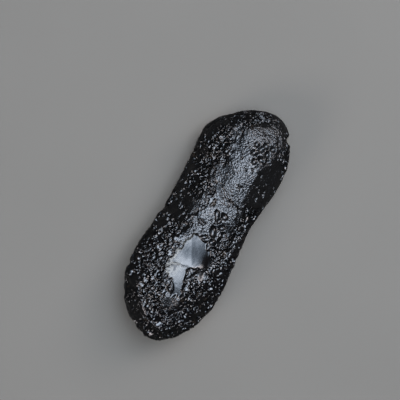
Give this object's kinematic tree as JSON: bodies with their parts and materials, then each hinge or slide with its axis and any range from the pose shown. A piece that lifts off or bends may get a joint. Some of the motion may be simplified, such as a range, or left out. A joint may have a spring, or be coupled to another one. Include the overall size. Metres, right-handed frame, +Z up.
{
  "type": "tektite",
  "caption": "Black glass tektite in a long, mild dumbbell shape, pitted all over, with a satin crest and a scoop beside a glossy window.",
  "frame": {"origin": "on the surface that the stone rests on, under the middle of its bounding box", "axes": "+X along the stone towards the slim lobe, +Y across it, +Z up from the surface it rests on"},
  "size_m": [0.0782, 0.03, 0.0241],
  "materials": {
    "tektite": "black natural glass: satin where the skin is etched, glossy in the window and in the pits"
  },
  "bodies": {
    "root": {"tektite": "tektite"}
  },
  "joints": []
}
